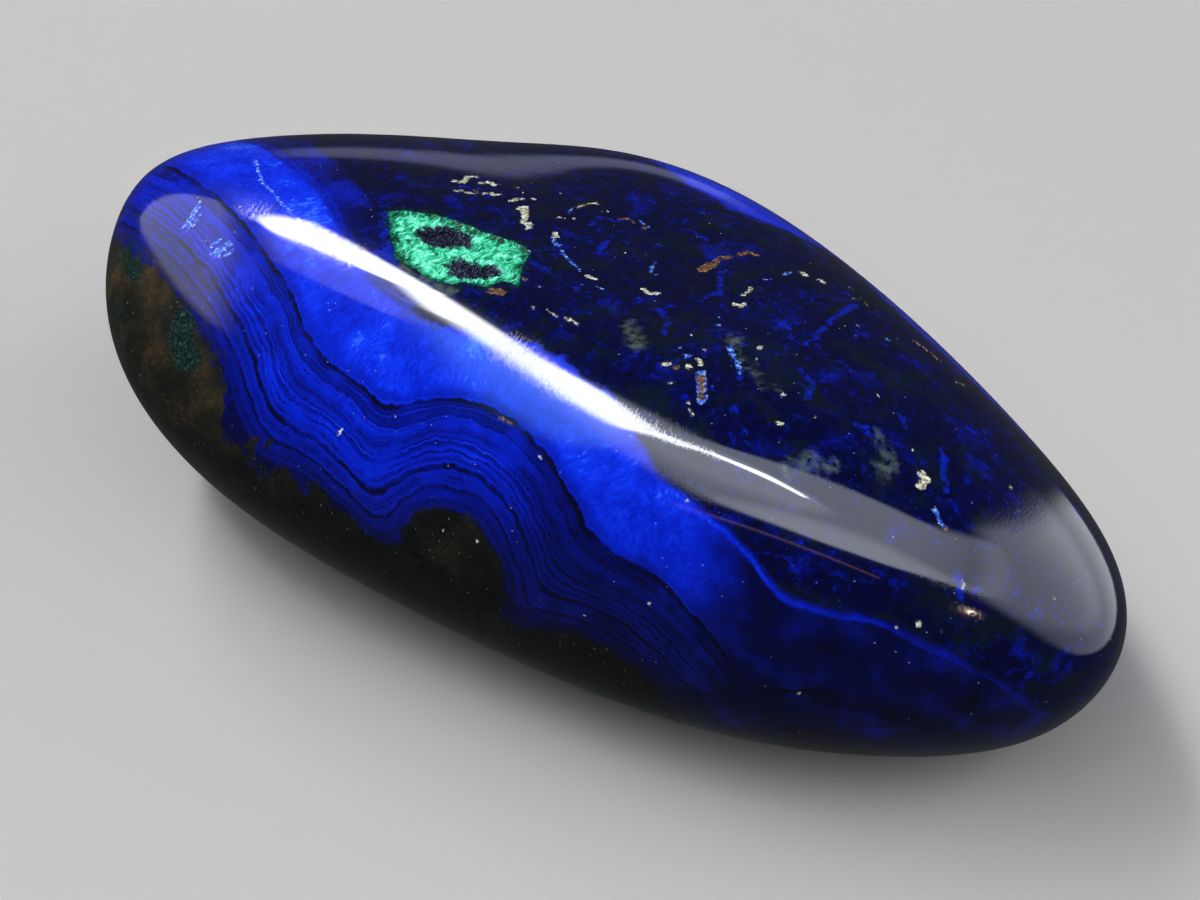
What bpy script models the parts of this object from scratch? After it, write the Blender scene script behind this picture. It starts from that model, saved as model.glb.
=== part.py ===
"""Azurite specimen: one polished freeform pebble of banded azurite on its dark matrix.

Metres, +Z up. X runs along the stone, from the blunt end of brown matrix (-X) to the
narrow tip (+X). Y runs across it, and the steep banded side faces -Y. The stone rests
on a small flat at Z = 0, and the origin is at the middle of its bounding box there.
"""

import math

import bmesh
import bpy
import numpy as np
from mathutils import Vector

MM = 0.001

NAME = "azurite_stone"

# Depth from the middle of the stone down to the flat that it rests on.
REST_DEPTH = 11.0 * MM

# How crisply the ground faces meet: a higher number leaves narrower, sharper ridges.
CRISPNESS = 9.0

# The faces that the lap ground, by where each one looks (azimuth from +X towards +Y and
# elevation, in degrees) and how far its plane is from the middle of the stone, in mm.
GROUND_FACES = {
    "crown": (92, 81, 10.9),
    "front slope": (-106, 52, 14.8),
    "front slope by the tip": (-75, 40, 18.0),
    "front belly": (-92, 0, 16.0),
    "front keel": (-98, -43, 14.5),
    "front keel by the tip": (-70, -50, 17.4),
    "underside": (0, -90, 11.35),
    "back keel": (90, -45, 16.0),
    "back belly": (92, 0, 19.5),
    "back slope": (120, 48, 20.0),
    "back shoulder": (80, 43, 20.5),
    "tip shoulder": (60, 31, 17.4),
    "tip": (20, -8, 31.8),
    "tip front": (-60, -5, 24.0),
    "tip top": (22, 58, 19.0),
    "tip keel": (-10, -42, 29.8),
    "heel": (205, 0, 32.3),
    "heel top": (187, 23, 36.0),
    "heel front": (-122, -25, 21.2),
    "heel back": (140, 5, 29.5),
    "heel keel": (180, -45, 27.0),
}

# One shallow hollow is rubbed into the back edge: where it lies, how wide (degrees) and deep.
HOLLOW_SITE = (138, 20)
HOLLOW_SPREAD = 17.0
HOLLOW_DEPTH = 0.8 * MM

# The blank is a cube cut into a grid, stretched like the stone so that the squares of the
# grid stay even once they are pushed out to the surface.
GRID_CUTS = 21
BLANK_STRETCH = Vector((2.4, 1.1, 1.0))

LAPIS_BLUE = (0.010, 0.028, 0.30, 1.0)
POLISH_ROUGHNESS = 0.08


def direction(azimuth, elevation):
    """The unit vector that looks along this azimuth and elevation, both in degrees."""
    a, e = math.radians(azimuth), math.radians(elevation)
    return Vector((math.cos(a) * math.cos(e), math.sin(a) * math.cos(e), math.sin(e)))


def clear_scene():
    for obj in list(bpy.data.objects):
        bpy.data.objects.remove(obj, do_unlink=True)


def new_collection(name):
    collection = bpy.data.collections.new(name)
    bpy.context.scene.collection.children.link(collection)
    return collection


def polished_azurite():
    material = bpy.data.materials.new("polished azurite")
    material.use_nodes = True
    shader = material.node_tree.nodes["Principled BSDF"]
    shader.inputs["Base Color"].default_value = LAPIS_BLUE
    shader.inputs["Roughness"].default_value = POLISH_ROUGHNESS
    shader.inputs["Metallic"].default_value = 0.0
    return material


def surface_distance(toward):
    """How far the polished surface is from the middle of the stone in one direction.

    Each ground face alone would cut the ray at d / cos(angle). The power sum keeps the
    nearest face and rounds the ridge where two faces are equally near.
    """
    cuts = 0.0
    for azimuth, elevation, distance in GROUND_FACES.values():
        facing = max(0.0, toward.dot(direction(azimuth, elevation)))
        cuts += (facing / (distance * MM)) ** CRISPNESS
    off_hollow = math.degrees(toward.angle(direction(*HOLLOW_SITE)))
    hollow = HOLLOW_DEPTH * math.exp(-((off_hollow / HOLLOW_SPREAD) ** 2))
    return cuts ** (-1.0 / CRISPNESS) - hollow


def grid_blank(bm):
    """A cube of even squares, bent so that their lines meet the middle at equal angles."""
    bmesh.ops.create_cube(bm, size=2.0)
    bmesh.ops.subdivide_edges(bm, edges=bm.edges, cuts=GRID_CUTS, use_grid_fill=True)
    for vert in bm.verts:
        bent = Vector(math.tan(c * math.pi / 4) for c in vert.co)
        vert.co = bent * BLANK_STRETCH


def grind(bm):
    """Push the blank out or in until it lies on the ground faces."""
    for vert in bm.verts:
        toward = vert.co.normalized()
        vert.co = toward * surface_distance(toward)


def cut_rest_flat(bm):
    """Slice off the lowest part, so that the stone has a real, sharp-edged flat to stand on."""
    everything = bm.verts[:] + bm.edges[:] + bm.faces[:]
    cut = bmesh.ops.bisect_plane(
        bm,
        geom=everything,
        plane_co=(0, 0, -REST_DEPTH),
        plane_no=(0, 0, -1),
        clear_outer=True,
    )
    rim = [item for item in cut["geom_cut"] if isinstance(item, bmesh.types.BMEdge)]
    for edge in rim:
        edge.smooth = False
    bmesh.ops.contextual_create(bm, geom=rim)
    bmesh.ops.recalc_face_normals(bm, faces=bm.faces)
    spans = np.ptp([vert.co for edge in rim for vert in edge.verts], axis=0)
    print("rest flat", " x ".join(f"{span / MM:.1f}" for span in spans[:2]), "mm")


def stand_on_origin(bm):
    """Move the stone so that the middle of its box's floor is the origin."""
    corners = np.array([vert.co for vert in bm.verts])
    low, high = corners.min(axis=0), corners.max(axis=0)
    middle_of_floor = Vector(((low[0] + high[0]) / 2, (low[1] + high[1]) / 2, low[2]))
    bmesh.ops.translate(bm, verts=bm.verts, vec=-middle_of_floor)
    return high - low


def azurite_stone(collection):
    bm = bmesh.new()
    grid_blank(bm)
    grind(bm)
    cut_rest_flat(bm)
    size = stand_on_origin(bm)
    mesh = bpy.data.meshes.new(NAME)
    bm.to_mesh(mesh)
    bm.free()
    mesh.materials.append(polished_azurite())
    mesh.shade_smooth()
    stone = bpy.data.objects.new(NAME, mesh)
    collection.objects.link(stone)
    print("stone", " x ".join(f"{side / MM:.1f}" for side in size), "mm")
    return stone


clear_scene()
azurite_stone(new_collection("azurite specimen"))
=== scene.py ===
# %% [markdown]
# # A polished pebble of azurite
#
# Azurite is a deep blue copper mineral. It grows as rounded nodules, layer on layer, on
# a dark crust of limonite. A lapidary cut through one such piece and rounded it by hand
# on a wheel, so its polished skin shows the layers as wavy bands. This lesson starts
# from the plain solid of the stone and gives it that skin.

# %% Load the frame
import math

import bmesh
import bpy
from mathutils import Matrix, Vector, interpolate, noise
from mathutils.bvhtree import BVHTree


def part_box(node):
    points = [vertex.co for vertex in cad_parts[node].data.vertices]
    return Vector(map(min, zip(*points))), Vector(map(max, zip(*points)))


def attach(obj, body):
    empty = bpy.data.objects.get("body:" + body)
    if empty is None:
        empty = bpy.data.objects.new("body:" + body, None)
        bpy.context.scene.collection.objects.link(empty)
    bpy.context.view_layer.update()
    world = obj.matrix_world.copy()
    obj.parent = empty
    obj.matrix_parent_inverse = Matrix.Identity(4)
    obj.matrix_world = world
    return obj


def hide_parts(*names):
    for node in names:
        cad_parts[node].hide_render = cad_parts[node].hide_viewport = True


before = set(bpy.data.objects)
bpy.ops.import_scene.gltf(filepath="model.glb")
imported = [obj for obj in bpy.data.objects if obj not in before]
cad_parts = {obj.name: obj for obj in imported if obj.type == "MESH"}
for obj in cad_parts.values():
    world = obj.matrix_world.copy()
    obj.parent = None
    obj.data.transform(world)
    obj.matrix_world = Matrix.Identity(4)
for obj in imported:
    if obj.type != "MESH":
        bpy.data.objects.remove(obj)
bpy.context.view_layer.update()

MM = 0.001
stone_low, stone_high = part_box("azurite_stone")
print("the stone's size in mm:", [round(side / MM, 1) for side in stone_high - stone_low])

# %% [markdown]
# ## The camera
#
# The stone lies on a table and is seen from above its banded side. The camera is only a
# hand's length away, and its long lens lets the stone fill the picture. Azimuth 0 looks
# along +Y, as on a compass that is set against the stone, and the elevation is the angle
# above the table.

# %% Camera
VIEW_AZIMUTH = 28.0
VIEW_ELEVATION = 40.0
VIEW_DISTANCE = 165 * MM
VIEW_TARGET = Vector((-0.3, -1.45, 9.2)) * MM
LENS = 85.0
SENSOR = 36.0
NEAREST_SEEN = 10 * MM
FARTHEST_SEEN = 20.0
PICTURE = (1200, 900)


def facing(azimuth, elevation):
    """The direction from the stone towards something at this azimuth and elevation."""
    a, e = math.radians(azimuth), math.radians(elevation)
    return Vector((math.sin(a) * math.cos(e), -math.cos(a) * math.cos(e), math.sin(e)))


view_back = facing(VIEW_AZIMUTH, VIEW_ELEVATION)
view_right = Vector((0, 0, 1)).cross(view_back).normalized()
view_up = view_back.cross(view_right)
view_point = VIEW_TARGET + view_back * VIEW_DISTANCE

lens = bpy.data.cameras.new("view")
lens.lens = LENS
lens.sensor_width = SENSOR
lens.clip_start = NEAREST_SEEN
lens.clip_end = FARTHEST_SEEN
camera = bpy.data.objects.new("view", lens)
camera.location = view_point
camera.rotation_euler = view_back.to_track_quat("Z", "Y").to_euler()
bpy.context.scene.collection.objects.link(camera)
bpy.context.scene.camera = camera
print("camera at", [round(c / MM) for c in view_point], "mm")

# %% [markdown]
# ## The table
#
# A polished stone shows whatever is round it, so the table is part of its look. A plain
# pale sheet is enough. It is left out of the reflections, because a pale sheet would lay
# a grey veil over the dark belly of the stone.

# %% Table
TABLE_HALF = 1.5
TABLE_PALE = (0.42, 0.40, 0.38, 1.0)
TABLE_ROUGHNESS = 0.75
TABLE_SHEEN = 0.2


def new_object(name, shape):
    """Turns a bmesh into an object of the scene."""
    mesh = bpy.data.meshes.new(name)
    shape.to_mesh(mesh)
    shape.free()
    made = bpy.data.objects.new(name, mesh)
    bpy.context.scene.collection.objects.link(made)
    return made


sheet = bmesh.new()
bmesh.ops.create_grid(sheet, x_segments=8, y_segments=8, size=TABLE_HALF)
table = new_object("table", sheet)
table_paint = bpy.data.materials.new("pale_card")
table_paint.use_nodes = True
table_shader = table_paint.node_tree.nodes["Principled BSDF"]
table_shader.inputs["Base Color"].default_value = TABLE_PALE
table_shader.inputs["Roughness"].default_value = TABLE_ROUGHNESS
table_shader.inputs["Specular IOR Level"].default_value = TABLE_SHEEN
table.data.materials.append(table_paint)
table.visible_glossy = False
print("the table is", 2 * TABLE_HALF, "m wide")

# %% [markdown]
# ## The lights
#
# On a mirror finish a lamp is seen as its own reflection, so each lamp here is placed and
# cut to shape by where it should shine back from the stone. A softbox is a flat panel one
# metre off. Its outline is a list of corners, each one a direction from the stone, and
# black cloth covers the panel outside them. The third number of a corner says how soft
# the edge from there to the next corner is, in degrees. A flag is a second cloth, which
# keeps its own outline dark. The brightness is the panel's own, as it is reflected.

# %% A softbox cut to shape
LAMP_DISTANCE = 1.0


def cloth_edge(sheet, spot, start, end, middle, softness):
    """The share of the light that passes one straight edge of the cloth, as a node output."""
    side = (end - start).normalized()
    inward = Vector((-side.y, side.x))
    if inward.dot(middle - start) < 0:
        inward = -inward
    reach = sheet.nodes.new("ShaderNodeVectorMath")
    reach.operation = "DOT_PRODUCT"
    sheet.links.new(spot, reach.inputs[0])
    reach.inputs[1].default_value = (inward.x, inward.y, 0)
    fade = sheet.nodes.new("ShaderNodeMapRange")
    fade.interpolation_type = "SMOOTHSTEP"
    fade.inputs["From Min"].default_value = inward.dot(start) - softness
    fade.inputs["From Max"].default_value = inward.dot(start) + softness
    sheet.links.new(reach.outputs["Value"], fade.inputs["Value"])
    return fade.outputs["Result"]


def product(sheet, first, second):
    node = sheet.nodes.new("ShaderNodeMath")
    node.operation = "MULTIPLY"
    sheet.links.new(first, node.inputs[0])
    sheet.links.new(second, node.inputs[1])
    return node.outputs[0]


def inside_outline(sheet, spot, corners, softness):
    """1 inside the outline, 0 outside, and soft between, as a node output."""
    middle = sum(corners, Vector((0, 0))) / len(corners)
    share = None
    for start, end, soft in zip(corners, corners[1:] + corners[:1], softness):
        edge = cloth_edge(sheet, spot, start, end, middle, soft)
        share = edge if share is None else product(sheet, share, edge)
    return share


def softbox(name, outline, brightness, tint=(1.0, 1.0, 1.0), flag=()):
    """A flat lamp that fills this outline of directions, as seen from the stone."""
    outward = sum((facing(*corner[:2]) for corner in outline), Vector()).normalized()
    along = Vector((0, 0, 1)).cross(outward).normalized()
    across = outward.cross(along)

    def on_panel(corner):
        direction = facing(*corner[:2])
        spread = Vector((direction.dot(along), direction.dot(across)))
        return spread * LAMP_DISTANCE / direction.dot(outward)

    def soft(corner):
        straight_on = facing(*corner[:2]).dot(outward)
        return LAMP_DISTANCE * math.tan(math.radians(corner[2])) / straight_on ** 2

    corners = [on_panel(corner) for corner in outline]
    spare = max(soft(corner) for corner in outline)
    low = Vector((min(c.x for c in corners) - spare, min(c.y for c in corners) - spare))
    size = Vector((max(c.x for c in corners) + spare, max(c.y for c in corners) + spare)) - low
    panel = bpy.data.lights.new(name, "AREA")
    panel.shape = "RECTANGLE"
    panel.size, panel.size_y = size
    panel.energy = brightness * math.pi * size.x * size.y
    panel.color = tint
    panel.use_nodes = True
    sheet = panel.node_tree
    geometry = sheet.nodes.new("ShaderNodeNewGeometry")
    spot = sheet.nodes.new("ShaderNodeVectorMath")
    spot.operation = "MULTIPLY_ADD"
    sheet.links.new(geometry.outputs["Parametric"], spot.inputs[0])
    spot.inputs[1].default_value = (size.x, size.y, 0)
    spot.inputs[2].default_value = (low.x, low.y, 0)

    def cut_out(directions):
        places = [on_panel(corner) for corner in directions]
        edges = [soft(corner) for corner in directions]
        return inside_outline(sheet, spot.outputs["Vector"], places, edges)

    share = cut_out(outline)
    if flag:
        dark = cut_out(flag)
        lit = sheet.nodes.new("ShaderNodeMath")
        lit.operation = "SUBTRACT"
        lit.inputs[0].default_value = 1.0
        sheet.links.new(dark, lit.inputs[1])
        share = product(sheet, share, lit.outputs[0])
    sheet.links.new(share, sheet.nodes["Emission"].inputs["Strength"])
    lamp = bpy.data.objects.new(name, panel)
    turn = (along, across, outward)
    for row in range(3):
        for column in range(3):
            lamp.matrix_world[row][column] = turn[column][row]
    middle = low + size / 2
    lamp.location = outward * LAMP_DISTANCE + along * middle.x + across * middle.y
    lamp.visible_camera = False
    bpy.context.scene.collection.objects.link(lamp)
    print(f"{name}: {size.x:.2f} x {size.y:.2f} m")


# %% [markdown]
# ## Where the lamps shine back
#
# A long softbox overhead draws the white line along the ridge, and a thin tube carries it
# on towards the tip. A blue panel beside it makes the silky layers glow. A tent of pale
# cloth in front and round the narrow end makes the grey sheen there, with a flag overhead
# that keeps the dark top clear. Small dim panels wake up the heel and the back edge, and
# one warm spot glints near the tip.

# %% Lights
WARM_WHITE = (1.0, 0.98, 0.95)
COOL_WHITE = (0.91, 0.94, 1.0)
SILKY_BLUE = (0.26, 0.66, 1.0)
PEARL = (0.96, 0.95, 1.0)
DUSK_BLUE = (0.64, 0.66, 1.0)
CANDLE = (1.0, 0.80, 0.55)
EMBER = (1.0, 0.45, 0.30)
ROSE = (1.0, 0.50, 0.45)
RIDGE_LIGHT = 15.0

softbox("ridge_softbox_left", [
    (225.2, 38.6, 0.8), (227.4, 45.2, 0.7), (242.9, 57.1, 0.3), (248.7, 52.4, 2.0),
    (248.3, 45.9, 0.6), (243, 43.4, 0.6),
], RIDGE_LIGHT, flag=[(237.9, 48.6, 0.5), (248, 46.2, 2.0), (255.4, 50.1, 2.0), (249.5, 52.4, 0.6)])
softbox("ridge_softbox_right", [
    (242.9, 57.1, 0.6), (256.7, 64.7, 0.5), (309.8, 67.9, 0.6), (319, 65.6, 1.5), (312, 60.5, 2.0),
    (287.9, 59.4, 2.0), (268, 57.9, 2.0), (248.7, 52.4, 0.3),
], RIDGE_LIGHT)
softbox("thin_tube_start", [
    (312.1, 66.4, 0.5), (314.4, 68.1, 0.5), (337, 68.6, 0.3), (339, 66.8, 0.5), (324.5, 64.2, 0.8),
], RIDGE_LIGHT)
softbox("thin_tube_end", [
    (336, 68.5, 0.3), (0, 65.6, 0.3), (15, 57.8, 0.3), (13.4, 56.8, 0.3), (339, 66.3, 0.3),
], 18.0)
softbox("under_the_tube", [
    (288, 68, 1.5), (0, 67.3, 1.0), (22, 54, 3.0), (11, 47.5, 4.0), (348, 50, 4.0), (328.6, 55, 4.0),
    (303.7, 60, 3.0),
], 1.0)
softbox("front_tent", [
    (250, 56, 2.0), (232, 52, 0.5), (132.8, 43.4, 5.0), (55, 35, 0.8), (28, 35.2, 0.8), (14.6, 35.9, 0.8),
    (1.8, 38.3, 1.0), (350, 41.6, 2.0), (336, 47.5, 5.0), (304, 56, 6.0),
], 2.2, COOL_WHITE, flag=[
    (232.7, 46, 0.5), (252, 63, 2.0), (271, 69.7, 2.0), (304, 73.5, 1.5), (328.6, 76, 2.0), (62, 70, 2.0),
    (90, 59, 2.0), (134.4, 35.2, 0.2),
])
softbox("front_fold", [
    (350, 42, 3.0), (1.8, 38.3, 1.0), (14.6, 35.9, 0.8), (28, 35.2, 0.8), (55, 35, 5.0), (60, 37, 4.0),
    (0, 44.5, 3.0),
], 1.5, COOL_WHITE)
softbox("tip_tent", [
    (175, -18, 1.0), (165.6, -0.3, 1.0), (132.8, 43.4, 5.0), (55, 35, 4.0), (64.7, 20, 4.0), (81, -7.8, 3.0),
    (98, -19, 2.0), (165, -23, 1.0),
], 0.9, COOL_WHITE)
softbox("tip_tent_inner", [
    (165.6, -0.3, 1.5), (132.8, 43.4, 5.0), (55, 35, 8.0), (70, 22, 10.0), (95, 5, 10.0), (125, -8, 8.0),
], 0.7, COOL_WHITE)
softbox("heel_panel", [
    (244, 39, 1.0), (259, 19.5, 1.0), (264, 13, 1.0), (269, 15, 1.0), (292, 32.4, 2.0), (274, 43, 2.0),
    (251.4, 43, 1.0),
], 1.3, PEARL)
softbox("ridge_patch", [
    (248, 45.5, 1.0), (237, 48, 1.0), (240, 53, 1.5), (261.5, 53.4, 1.0), (269.5, 51.2, 1.0),
    (270.5, 46.5, 1.2),
], 0.9, WARM_WHITE)
softbox("ridge_glow", [
    (258, 53, 1.5), (262, 60, 2.0), (308, 62, 3.0), (326, 53, 4.0), (324, 45, 4.0), (310, 45.5, 4.0),
    (283, 50.5, 2.0),
], 2.1, SILKY_BLUE)
softbox("back_panel", [
    (215, 11, 1.5), (215, 5, 2.0), (198, -4, 2.0), (196, -4, 2.0), (197, 3.5, 1.2),
], 0.40, DUSK_BLUE)
softbox("warm_spot", [
    (44, 20.8, 0.3), (47.5, 22.5, 0.3), (48, 21.9, 0.3), (44.5, 20.2, 0.3),
], 60.0, CANDLE)
softbox("warm_spot_halo", [
    (41, 20, 2.0), (47, 24, 2.0), (51, 22, 2.0), (45, 18, 2.0),
], 1.6, EMBER)
softbox("warm_thread", [
    (350, 35.2, 0.4), (24, 28.3, 0.4), (24, 27.4, 0.4), (350, 34.4, 0.4),
], 0.9, ROSE)

# %% [markdown]
# ## The room
#
# The stone mirrors everything round it, also where there is no lamp. A dim room keeps
# those reflections nearly black. The Standard view then shows each colour as it is.

# %% Room
ROOM_COLOUR = (0.9, 0.95, 1.0, 1.0)
ROOM_LIGHT = 0.04

world = bpy.data.worlds.new("dim_room")
world.use_nodes = True
room = world.node_tree.nodes["Background"]
room.inputs["Color"].default_value = ROOM_COLOUR
room.inputs["Strength"].default_value = ROOM_LIGHT
bpy.context.scene.world = world
bpy.context.scene.view_settings.view_transform = "Standard"
print(len(bpy.data.lights), "lamps in a dim room")

# %% [markdown]
# ## The polished body
#
# The solid of the stone has flat facets a few millimetres wide, and a mirror finish would
# show each one. So a cube is cut into a fine grid, and the points of the grid are pushed
# out from the middle of the stone until they meet the solid. Each facet is then rounded:
# where a point stands off the planes that touch the facet's corners, it moves halfway to
# them, which is just how far a round surface bulges. A few passes of relaxing polish the
# rest. A cube is used and not a sphere, because its squares stay even and it has no poles.

# %% Polished body
GRID_CUTS = 97
BLANK_STRETCH = Vector((2.4, 1.1, 1.0))
FELT_PASSES = 5
FACING_DOWN = -0.999
stone_middle = (stone_low + stone_high) / 2


def rounded(spot, facet):
    """Where a spot on this flat facet lies on the round surface through its corners."""
    lifted = Vector()
    shares = interpolate.poly_3d_calc([corner.co for corner in facet.verts], spot)
    for corner, share in zip(facet.verts, shares):
        lifted += (spot - corner.normal * (spot - corner.co).dot(corner.normal)) * share
    return (spot + lifted) / 2


solid = bmesh.new()
solid.from_mesh(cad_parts["azurite_stone"].data)
bmesh.ops.remove_doubles(solid, verts=solid.verts[:], dist=0.001 * MM)
solid.normal_update()
rest_flat = [facet for facet in solid.faces if facet.normal.z < FACING_DOWN]
bmesh.ops.delete(solid, geom=rest_flat, context="FACES_ONLY")
solid.normal_update()
solid.faces.ensure_lookup_table()
solid_skin = BVHTree.FromBMesh(solid)

stone = bmesh.new()
bmesh.ops.create_cube(stone, size=2.0)
bmesh.ops.subdivide_edges(stone, edges=stone.edges[:], cuts=GRID_CUTS, use_grid_fill=True)
for point in stone.verts:
    even = Vector([math.tan(c * math.pi / 4) for c in point.co])
    outward = (even * BLANK_STRETCH).normalized()
    spot, _, facet, _ = solid_skin.ray_cast(stone_middle, outward)
    if spot:
        point.co = rounded(spot, solid.faces[facet])
    else:
        point.co = stone_middle + outward * (stone_low.z - stone_middle.z) / outward.z
solid.free()


def felt_wheel(points, passes):
    """Relaxes these points, which rounds whatever is smaller than the grid's squares."""
    every_way = {"use_axis_x": True, "use_axis_y": True, "use_axis_z": True}
    for _ in range(passes):
        bmesh.ops.smooth_vert(stone, verts=points, factor=0.5, **every_way)


felt_wheel(stone.verts[:], FELT_PASSES)
print(len(stone.faces), "squares in the polished body")

# %% [markdown]
# ## Where things lie
#
# The small crystals are placed as they appear from the camera. A line from the
# camera through that place in its 1200 by 900 picture is followed until it meets the
# stone, and from then on the crystal has a place on the stone itself.

# %% A place on the stone
stone.normal_update()
plain_stone = stone.copy()
plain_stone.faces.ensure_lookup_table()
polished_skin = BVHTree.FromBMesh(plain_stone)
PIXELS_PER_TURN = LENS / SENSOR * PICTURE[0]


def on_stone(across, down):
    """The point of the stone that is seen at this place in the picture, in metres."""
    sideways = view_right * (across - PICTURE[0] / 2) / PIXELS_PER_TURN
    upward = view_up * (PICTURE[1] / 2 - down) / PIXELS_PER_TURN
    ahead = sideways + upward - view_back
    spot, _, facet, _ = polished_skin.ray_cast(view_point, ahead.normalized())
    if spot is None:
        spot, _, facet, _ = polished_skin.find_nearest(view_point + ahead * VIEW_DISTANCE)
    return rounded(spot, plain_stone.faces[facet])


seen_first = on_stone(PICTURE[0] / 2, PICTURE[1] / 2)
print("the middle of the picture meets the stone at", [round(c / MM, 1) for c in seen_first], "mm")

# %% [markdown]
# ## Small crystals and flecks
#
# Little crystals of cerussite and crumbs of clay fill cracks in the massive azurite, and
# a few threads of it are paler blue. Each one is half its width, followed by the places
# that it runs through. Druses are patches of the heel that glitter with tiny green
# crystals, and hazes are where a thin film of green clouds the blue.

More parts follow.
